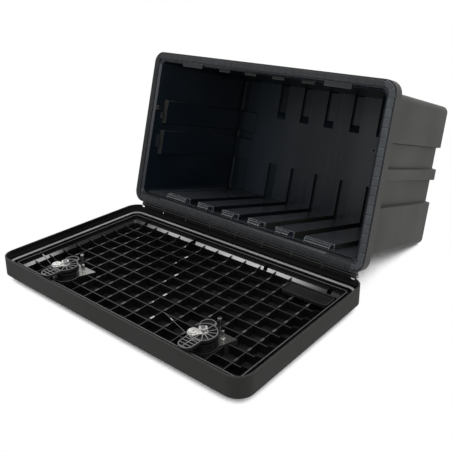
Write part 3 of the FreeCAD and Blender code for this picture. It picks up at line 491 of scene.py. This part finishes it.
# Inner frame: black, with painted light on the rib tops, painted highlights on the ridge and bead, and
# painted light on the sloped edge, strongest where it catches the light
frameStyle = {
    "base": {"dark": (0.0038, 0.0038, 0.004), "light": (0.0065, 0.0065, 0.007), "grain": 500.0,
             "depth": 0.08, "haze": 11.0, "rough": (0.24, 0.36)},
    # Painted light on the rib tops, painted highlights on the ridge and bead, painted light on the slopes
    "ribs": {"dark": (0.018, 0.018, 0.018), "light": (0.033, 0.033, 0.033), "rough": 0.4, "specular": 0.22},
    "ridge": {"dark": (0.06, 0.06, 0.061), "light": (0.09, 0.09, 0.092), "rough": 0.35},
    "bead": {"dark": (0.19, 0.19, 0.192), "light": (0.29, 0.29, 0.292), "rough": 0.35},
    "dimSlope": {"dark": (0.009, 0.009, 0.009), "light": (0.019, 0.019, 0.0187), "rough": 0.4,
                 "specular": 0.22},
    "litSlope": {"dark": (0.22, 0.22, 0.217), "light": (0.40, 0.40, 0.395), "rough": 0.22,
                 "specular": 0.50},
    "zones": {
        "flat": (0.9, 1.2), "sloped": (0.5, 0.85), "ribLevel": (0.0236, 0.0243),
        "ridgeLevel": (0.0405, 0.0417), "beadLevel": (0.0421, 0.05), "slopeLevel": (0.0241, 0.0317),
        "leftEdge": (-0.4, -0.34), "freeEnd": (-0.5, -0.40, 0.1), "litRun": (-0.36, 0.17, 0.16),
        "hingeEdge": (-0.075, 0)}}


def makeFramePlastic():
    zones = frameStyle["zones"]
    finish = startFinish("framePlastic", frameStyle["base"])
    tree = finish["tree"]

    def levelMask(name):
        return sliceMask(tree, zWay, *zones[name])

    # Painted light on the rib tops, painted highlights on the ridge and bead
    ribTops = productOf(tree, tiltMask(tree, *zones["flat"]), levelMask("ribLevel"))
    addZone(finish, ribTops, frameStyle["ribs"])
    addZone(finish, levelMask("ridgeLevel"), frameStyle["ridge"])
    addZone(finish, levelMask("beadLevel"), frameStyle["bead"])
    # Faint painted light on all slopes, strong painted light on two stretches
    slopes = productOf(tree, tiltMask(tree, *zones["sloped"]), levelMask("slopeLevel"))
    addZone(finish, slopes, frameStyle["dimSlope"])
    for first, second in (("leftEdge", "freeEnd"), ("litRun", "hingeEdge")):
        along = sliceMask(tree, xWay, *zones[first])
        deep = sliceMask(tree, yWay, *zones[second])
        addZone(finish, productOf(tree, slopes, productOf(tree, along, deep)), frameStyle["litSlope"])
    return closeFinish(finish)


# Seal: soft rubber, lighter on the right side of the flange than on the left: painted light on the right,
# painted shade on the left
rubberStyle = {
    "base": {"dark": (0.013, 0.0147, 0.0168), "light": (0.022, 0.0245, 0.0278), "grain": 700.0,
             "depth": 0.2, "haze": 30.0, "rough": (0.35, 0.5), "specular": 0.22},
    # Painted light on the right side, painted shade on the left
    "right": {"dark": (0.026, 0.0294, 0.0336), "light": (0.044, 0.049, 0.0556), "rough": 0.35,
              "specular": 0.30},
    "left": {"dark": (0.009, 0.0102, 0.0116), "light": (0.015, 0.0167, 0.019), "rough": 0.4,
             "specular": 0.16},
    "zones": {"right": (0.362, 0.5), "left": (-0.5, -0.372, 0.008)}}


def makeSealRubber():
    finish = startFinish("sealRubber", rubberStyle["base"])
    for side, stretch in rubberStyle["zones"].items():
        addZone(finish, sliceMask(finish["tree"], xWay, *stretch), rubberStyle[side])
    return closeFinish(finish)


# Cams: dull inside their cells, with painted light on the rib tops
camStyle = {
    "base": {"dark": (0.014, 0.014, 0.0144), "light": (0.024, 0.024, 0.0244), "grain": 800.0,
             "depth": 0.15, "haze": 40.0, "rough": (0.3, 0.45)},
    "top": {"dark": (0.09, 0.09, 0.091), "light": (0.145, 0.145, 0.146), "rough": 0.35},
    "zones": {"top": (0.0569, 0.058), "flat": (0.9, 1.2)}}


def makeCamPlastic():
    zones = camStyle["zones"]
    finish = startFinish("camPlastic", camStyle["base"])
    tree = finish["tree"]
    # Painted light on the flat tops
    top = productOf(tree, sliceMask(tree, zWay, *zones["top"]), tiltMask(tree, *zones["flat"]))
    addZone(finish, top, camStyle["top"])
    return closeFinish(finish)


# Paper tray, bearings and the other plain finishes
innerLook = dict(frameStyle["base"], dark=(0.009, 0.009, 0.0095), light=(0.015, 0.015, 0.016))
# Painted highlights on the tray's rounded edges
trayEdgeHighlight = {"radius": 0.0012, "dark": (0.06, 0.06, 0.062), "light": (0.09, 0.09, 0.092), "rough": 0.4}
latchLook = {"dark": (0.040, 0.040, 0.041), "light": (0.062, 0.062, 0.063), "grain": 800.0, "depth": 0.15,
             "haze": 40.0, "rough": (0.3, 0.45)}
zincLook = {"dark": (0.56, 0.55, 0.533), "light": (0.76, 0.755, 0.738), "grain": 900.0, "depth": 0.08,
            "haze": 60.0, "rough": (0.3, 0.45), "metal": 1.0}
steelLook = {"dark": (0.16, 0.16, 0.16), "light": (0.25, 0.25, 0.25), "grain": 900.0, "depth": 0.08,
             "haze": 60.0, "rough": (0.25, 0.4), "metal": 1.0}


def makeTrayPlastic():
    finish = startFinish("trayPlastic", innerLook)
    # Painted highlights on the tray's rounded edges
    addZone(finish, edgeMask(finish["tree"], trayEdgeHighlight["radius"]), trayEdgeHighlight)
    return closeFinish(finish)


tubPlastic = makeTubPlastic()
doorPlastic = makeDoorPlastic()
framePlastic = makeFramePlastic()
sealRubber = makeSealRubber()
latchBlack = plainFinish("latchBlack", latchLook)
camPlastic = makeCamPlastic()
trayPlastic = makeTrayPlastic()
blackInner = plainFinish("blackInner", innerLook)
zincBright = plainFinish("zincBright", zincLook)
steelDrawn = plainFinish("steelDrawn", steelLook)

# Finish of each record slot, and of the nodes that have one of their own
slotMaterials = {"black_shell": doorPlastic, "black_inner": blackInner, "seal_rubber": sealRubber,
                 "latch_black": latchBlack, "zinc": zincBright, "steel": steelDrawn}
ownMaterials = {"tub": tubPlastic, "door_inner_frame": framePlastic, "paper_tray": trayPlastic}
for side in ("left", "right"):
    ownMaterials["cam_arm_" + side] = camPlastic
    ownMaterials["bearing_" + side] = blackInner
for part in frame["record"]["subparts"]:
    mesh = nodes[part["node"]].data
    mesh.materials.clear()
    mesh.materials.append(ownMaterials.get(part["node"], slotMaterials[part["material_slot"]]))
print("stage: materials")


# Geometry node trees
def geometryTree(name, ins):
    tree = bpy.data.node_groups.new(name, "GeometryNodeTree")
    for label, kind, value in ins:
        socket = tree.interface.new_socket(name=label, in_out="INPUT", socket_type=kind)
        if value is not None:
            socket.default_value = value
    tree.interface.new_socket(name="Geometry", in_out="OUTPUT", socket_type="NodeSocketGeometry")
    return tree, tree.nodes.new("NodeGroupInput"), tree.nodes.new("NodeGroupOutput")


# Both trees end here: real meshes, one material
def finishTree(tree, geometry, material, leave):
    real = tree.nodes.new("GeometryNodeRealizeInstances")
    tree.links.new(geometry, real.inputs["Geometry"])
    paint = tree.nodes.new("GeometryNodeSetMaterial")
    tree.links.new(real.outputs["Geometry"], paint.inputs["Geometry"])
    tree.links.new(material, paint.inputs["Material"])
    tree.links.new(paint.outputs["Geometry"], leave.inputs["Geometry"])


def bakeTree(name, tree, settings, placement):
    holder = bpy.data.objects.new(name + "Holder", bpy.data.meshes.new(name + "Holder"))
    scene.collection.objects.link(holder)
    modifier = holder.modifiers.new("build", "NODES")
    modifier.node_group = tree
    for item in tree.interface.items_tree:
        if item.in_out == "INPUT" and item.name in settings:
            modifier[item.identifier] = settings[item.name]
    depsgraph = bpy.context.evaluated_depsgraph_get()
    depsgraph.update()
    mesh = bpy.data.meshes.new_from_object(holder.evaluated_get(depsgraph))
    mesh.name = name
    mesh.transform(placement)
    bpy.data.objects.remove(holder)
    piece = bpy.data.objects.new(name, mesh)
    scene.collection.objects.link(piece)
    return piece


# Seal: padded pillows round the flange over a thin backing strip
sealSize = {"width": 0.7664, "height": 0.4364, "corner": 0.0197, "cornerSteps": 8, "pitch": 0.023,
            "pillowLength": 0.0224, "pillowWidth": 0.0156, "crown": 0.0022, "back": 0.0013,
            "stripWidth": 0.0146, "stripShare": 0.5, "blockCuts": (4, 3), "puff": 0.42, "smoothing": 2,
            "middleUp": 0.23}


def makeSealTree():
    tree, entry, leave = geometryTree("sealPillows", [
        ("Width", "NodeSocketFloat", 0.7), ("Height", "NodeSocketFloat", 0.4),
        ("Corner", "NodeSocketFloat", 0.02), ("Corner Steps", "NodeSocketInt", 8),
        ("Pitch", "NodeSocketFloat", 0.02), ("Pillow", "NodeSocketVector", None),
        ("Puff", "NodeSocketFloat", 0.4), ("Smoothing", "NodeSocketInt", 2),
        ("Strip Width", "NodeSocketFloat", 0.01), ("Strip Height", "NodeSocketFloat", 0.001),
        ("Rubber", "NodeSocketMaterial", None)])
    n, link = tree.nodes, tree.links.new
    outline = n.new("GeometryNodeCurvePrimitiveQuadrilateral")
    link(entry.outputs["Width"], outline.inputs["Width"])
    link(entry.outputs["Height"], outline.inputs["Height"])
    rounded = n.new("GeometryNodeFilletCurve")
    rounded.mode = "POLY"
    link(entry.outputs["Corner Steps"], rounded.inputs["Count"])
    link(outline.outputs["Curve"], rounded.inputs["Curve"])
    link(entry.outputs["Corner"], rounded.inputs["Radius"])
    spaced = n.new("GeometryNodeResampleCurve")
    spaced.mode = "LENGTH"
    link(rounded.outputs["Curve"], spaced.inputs["Curve"])
    link(entry.outputs["Pitch"], spaced.inputs["Length"])
    block = n.new("GeometryNodeMeshCube")
    for label, cuts in zip(("Vertices X", "Vertices Y"), sealSize["blockCuts"]):
        block.inputs[label].default_value = cuts
    link(entry.outputs["Pillow"], block.inputs["Size"])
    soft = n.new("GeometryNodeSubdivisionSurface")
    link(entry.outputs["Smoothing"], soft.inputs["Level"])
    link(block.outputs["Mesh"], soft.inputs["Mesh"])
    link(entry.outputs["Puff"], soft.inputs["Edge Crease"])
    smooth = n.new("GeometryNodeSetShadeSmooth")
    link(soft.outputs["Mesh"], smooth.inputs["Geometry"])
    tangent = n.new("GeometryNodeInputTangent")
    turn = n.new("FunctionNodeAlignRotationToVector")
    turn.axis = "X"
    turn.pivot_axis = "Z"
    link(tangent.outputs["Tangent"], turn.inputs["Vector"])
    scatter = n.new("GeometryNodeInstanceOnPoints")
    link(spaced.outputs["Curve"], scatter.inputs["Points"])
    link(smooth.outputs["Geometry"], scatter.inputs["Instance"])
    link(turn.outputs["Rotation"], scatter.inputs["Rotation"])
    profile = n.new("GeometryNodeCurvePrimitiveQuadrilateral")
    link(entry.outputs["Strip Width"], profile.inputs["Width"])
    link(entry.outputs["Strip Height"], profile.inputs["Height"])
    strip = n.new("GeometryNodeCurveToMesh")
    link(rounded.outputs["Curve"], strip.inputs["Curve"])
    link(profile.outputs["Curve"], strip.inputs["Profile Curve"])
    together = n.new("GeometryNodeJoinGeometry")
    link(scatter.outputs["Instances"], together.inputs["Geometry"])
    link(strip.outputs["Mesh"], together.inputs["Geometry"])
    finishTree(tree, together.outputs["Geometry"], entry.outputs["Rubber"], leave)
    return tree


sealThickness = sealSize["crown"] + sealSize["back"]
sealFace = Matrix((
    (1, 0, 0, 0),
    (0, upWay.y, -depthWay.y, 0),
    (0, upWay.z, -depthWay.z, 0),
    (0, 0, 0, 1)))
sealMiddle = boxPoint(0, (sealSize["back"] - sealSize["crown"]) / 2, sealSize["middleUp"])
sealPlace = Matrix.Translation(sealMiddle) @ sealFace
sealPillows = bakeTree("sealPillows", makeSealTree(), {
    "Width": sealSize["width"], "Height": sealSize["height"], "Corner": sealSize["corner"],
    "Corner Steps": sealSize["cornerSteps"], "Pitch": sealSize["pitch"],
    "Pillow": (sealSize["pillowLength"], sealSize["pillowWidth"], sealThickness),
    "Puff": sealSize["puff"], "Smoothing": sealSize["smoothing"], "Strip Width": sealSize["stripWidth"],
    "Strip Height": sealThickness * sealSize["stripShare"], "Rubber": sealRubber}, sealPlace)
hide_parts("flange_seal")
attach(sealPillows, "box")
print("stage: seal")

# Webs: small flat webs lying where the ribs cross, on the hinge side of each crossing; their lighter colour
# is a painted sheen
webStyle = {
    "columns": 14, "rows": 8, "pitchX": 0.04848, "pitchY": 0.0435556, "middleY": -0.263394,
    "ribTop": 0.024, "halfRib": 0.0012, "length": 0.0120, "wide": 0.0038, "narrow": 0.0030, "flat": 0.11,
    "latchX": 0.2335, "clear": 0.05, "frontLine": -0.35,
    # Painted sheen, and a painted glint along a slanting line
    "base": {"dark": (0.02, 0.02, 0.02), "light": (0.09, 0.09, 0.088), "grain": 500.0, "depth": 0.05,
             "haze": 8.0, "rough": (0.3, 0.4)},
    "glint": {"dark": (0.30, 0.30, 0.29), "light": (0.55, 0.55, 0.54), "rough": 0.3},
    "glintAxis": (1, 0.56, 0), "glintLine": (-0.177, -0.142, 0.004)}


# A painted glint runs aslant over the webs
def makeWebSheen():
    finish = startFinish("webSheen", webStyle["base"])
    glint = sliceMask(finish["tree"], webStyle["glintAxis"], *webStyle["glintLine"])
    addZone(finish, glint, webStyle["glint"])
    return closeFinish(finish)


def makeWebTree():
    tree, entry, leave = geometryTree("ribSheenWebs", [
        ("Columns", "NodeSocketInt", 2), ("Rows", "NodeSocketInt", 2), ("Size X", "NodeSocketFloat", 0.1),
        ("Size Y", "NodeSocketFloat", 0.1), ("Length", "NodeSocketFloat", 0.01),
        ("Wide", "NodeSocketFloat", 0.003), ("Narrow", "NodeSocketFloat", 0.001),
        ("Flat", "NodeSocketFloat", 0.1), ("Latch X", "NodeSocketFloat", 0.2),
        ("Clear", "NodeSocketFloat", 0.05), ("Front Line", "NodeSocketFloat", 0.0),
        ("Plastic", "NodeSocketMaterial", None)])
    n, link = tree.nodes, tree.links.new
    grid = n.new("GeometryNodeMeshGrid")
    for label, source in (("Vertices X", "Columns"), ("Vertices Y", "Rows"), ("Size X", "Size X"),
                          ("Size Y", "Size Y")):
        link(entry.outputs[source], grid.inputs[label])
    # Crossings inside the latch recesses carry no web
    place = n.new("GeometryNodeInputPosition")
    parts = n.new("ShaderNodeSeparateXYZ")
    link(place.outputs["Position"], parts.inputs["Vector"])
    fromMiddle = plainMath(tree, "ABSOLUTE", parts.outputs["X"])
    fromLatch = plainMath(tree, "ABSOLUTE", plainMath(tree, "SUBTRACT", fromMiddle, entry.outputs["Latch X"]))
    beside = plainMath(tree, "GREATER_THAN", fromLatch, entry.outputs["Clear"])
    behind = plainMath(tree, "GREATER_THAN", parts.outputs["Y"], entry.outputs["Front Line"])
    web = n.new("GeometryNodeMeshCone")
    web.inputs["Vertices"].default_value = 4  # a tapered bar
    link(entry.outputs["Narrow"], web.inputs["Radius Top"])
    link(entry.outputs["Wide"], web.inputs["Radius Bottom"])
    link(entry.outputs["Length"], web.inputs["Depth"])
    square = n.new("GeometryNodeTransform")
    square.inputs["Rotation"].default_value = (0, 0, math.radians(45))  # its sides along x and y
    link(web.outputs["Mesh"], square.inputs["Geometry"])
    lie = n.new("GeometryNodeTransform")
    lie.inputs["Rotation"].default_value = (math.radians(-90), 0, 0)  # its length along y
    link(square.outputs["Geometry"], lie.inputs["Geometry"])
    flatten = n.new("ShaderNodeCombineXYZ")
    flatten.inputs["X"].default_value = 1.0
    flatten.inputs["Z"].default_value = 1.0
    link(entry.outputs["Flat"], flatten.inputs["Y"])
    link(flatten.outputs["Vector"], lie.inputs["Scale"])
    scatter = n.new("GeometryNodeInstanceOnPoints")
    link(grid.outputs["Mesh"], scatter.inputs["Points"])
    link(plainMath(tree, "MAXIMUM", beside, behind), scatter.inputs["Selection"])
    link(lie.outputs["Geometry"], scatter.inputs["Instance"])
    finishTree(tree, scatter.outputs["Instances"], entry.outputs["Plastic"], leave)
    return tree


webStart = webStyle["middleY"] + webStyle["halfRib"] + webStyle["length"] / 2
webPlace = Matrix.Translation((0, webStart, webStyle["ribTop"]))
ribSheenWebs = bakeTree("ribSheenWebs", makeWebTree(), {
    "Columns": webStyle["columns"], "Rows": webStyle["rows"],
    "Size X": (webStyle["columns"] - 1) * webStyle["pitchX"],
    "Size Y": (webStyle["rows"] - 1) * webStyle["pitchY"],
    "Length": webStyle["length"], "Wide": webStyle["wide"], "Narrow": webStyle["narrow"],
    "Flat": webStyle["flat"], "Latch X": webStyle["latchX"], "Clear": webStyle["clear"],
    "Front Line": webStyle["frontLine"] - webStyle["middleY"], "Plastic": makeWebSheen()}, webPlace)
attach(ribSheenWebs, "door")
print("stage: webs")

# Stage: a floor and backdrop that read white to the camera and in gloss, with a contact shadow
stageLook = {"floorSize": 14.0, "floorDrop": 0.0006, "floorTone": 0.7, "floorRough": 0.9, "skyTone": 0.5,
             "shadowReach": 0.2, "shadowDeep": 0.19, "shadowGone": 0.36, "shadowSamples": 12}


def backgroundRays(tree):
    path = tree.nodes.new("ShaderNodeLightPath")
    mirrored = plainMath(tree, "MAXIMUM", path.outputs["Is Glossy Ray"], path.outputs["Is Transmission Ray"])
    return plainMath(tree, "MAXIMUM", path.outputs["Is Camera Ray"], mirrored)


half = stageLook["floorSize"] / 2
floorMesh = bpy.data.meshes.new("studioFloor")
floorMesh.from_pydata([(-half, -half, 0), (half, -half, 0), (half, half, 0), (-half, half, 0)], [],
                      [(0, 1, 2, 3)])
studioFloor = bpy.data.objects.new("studioFloor", floorMesh)
studioFloor.location.z = -stageLook["floorDrop"]
scene.collection.objects.link(studioFloor)
floorMaterial = bpy.data.materials.new("studioFloor")
floorMaterial.use_nodes = True
floorTree = floorMaterial.node_tree
n, link = floorTree.nodes, floorTree.links.new
floorShader = n["Principled BSDF"]
floorTone = stageLook["floorTone"]
floorShader.inputs["Base Color"].default_value = (floorTone, floorTone, floorTone, 1)
floorShader.inputs["Roughness"].default_value = stageLook["floorRough"]
glow = n.new("ShaderNodeEmission")
mix = n.new("ShaderNodeMixShader")
nearby = n.new("ShaderNodeAmbientOcclusion")
nearby.samples = stageLook["shadowSamples"]
nearby.inputs["Distance"].default_value = stageLook["shadowReach"]
openSky = smoothStep(floorTree, nearby.outputs["AO"], stageLook["shadowDeep"], stageLook["shadowGone"])
link(productOf(floorTree, backgroundRays(floorTree), openSky), mix.inputs["Fac"])
link(floorShader.outputs["BSDF"], mix.inputs[1])
link(glow.outputs["Emission"], mix.inputs[2])
link(mix.outputs["Shader"], n["Material Output"].inputs["Surface"])
floorMesh.materials.append(floorMaterial)

world = bpy.data.worlds.new("studio")
scene.world = world
world.use_nodes = True
n, link = world.node_tree.nodes, world.node_tree.links.new
background = n["Background"]
background.inputs["Color"].default_value = (1, 1, 1, 1)
skyMix = n.new("ShaderNodeMix")
skyMix.data_type = "FLOAT"
skyMix.inputs["A"].default_value = stageLook["skyTone"]
skyMix.inputs["B"].default_value = 1.0
link(backgroundRays(world.node_tree), skyMix.inputs["Factor"])
link(skyMix.outputs["Result"], background.inputs["Strength"])

# Soft panels of light
lightPanels = {
    "overhead": {"place": (0.2, -0.3, 2.6), "aim": (0, 0, 0.2), "size": (2.6, 2.0), "power": 62},
    "frontFill": {"place": (2.3, -2.1, 1.4), "aim": (0, 0, 0.2), "size": (1.8, 1.4), "power": 24},
    "frontLeft": {"place": (-1.25, -1.7, 1.6), "aim": (0.1, -0.1, 0.03), "size": (0.8, 0.8), "power": 4.5},
    "backRight": {"place": (1.3, 1.3, 1.9), "aim": (-0.2, -0.3, 0.0), "size": (1.0, 1.0), "power": 9}}
for name, panel in lightPanels.items():
    light = bpy.data.lights.new(name, "AREA")
    light.shape = "RECTANGLE"
    light.size, light.size_y = panel["size"]
    light.energy = panel["power"]
    lamp = bpy.data.objects.new(name, light)
    lamp.location = panel["place"]
    sight = Vector(panel["aim"]) - Vector(panel["place"])
    lamp.rotation_euler = sight.to_track_quat("-Z", "Y").to_euler()
    scene.collection.objects.link(lamp)

# Camera at the photo's fitted place
photoView = {"sensor": 36.0, "lens": 48.16, "shift": (-0.0319, -0.1447), "clipEnd": 60,
             "place": (0.96693, -1.19930, 0.76881), "turn": (72.3204, -0.1072, 38.9015)}
photoCamera = bpy.data.cameras.new("photoCamera")
photoCamera.sensor_width = photoView["sensor"]
photoCamera.lens = photoView["lens"]
photoCamera.shift_x, photoCamera.shift_y = photoView["shift"]
photoCamera.clip_end = photoView["clipEnd"]
cameraObject = bpy.data.objects.new("photoCamera", photoCamera)
cameraObject.location = photoView["place"]
cameraObject.rotation_euler = [math.radians(degrees) for degrees in photoView["turn"]]
scene.collection.objects.link(cameraObject)
scene.camera = cameraObject
scene.view_settings.view_transform = "Standard"
print("stage: studio and camera")
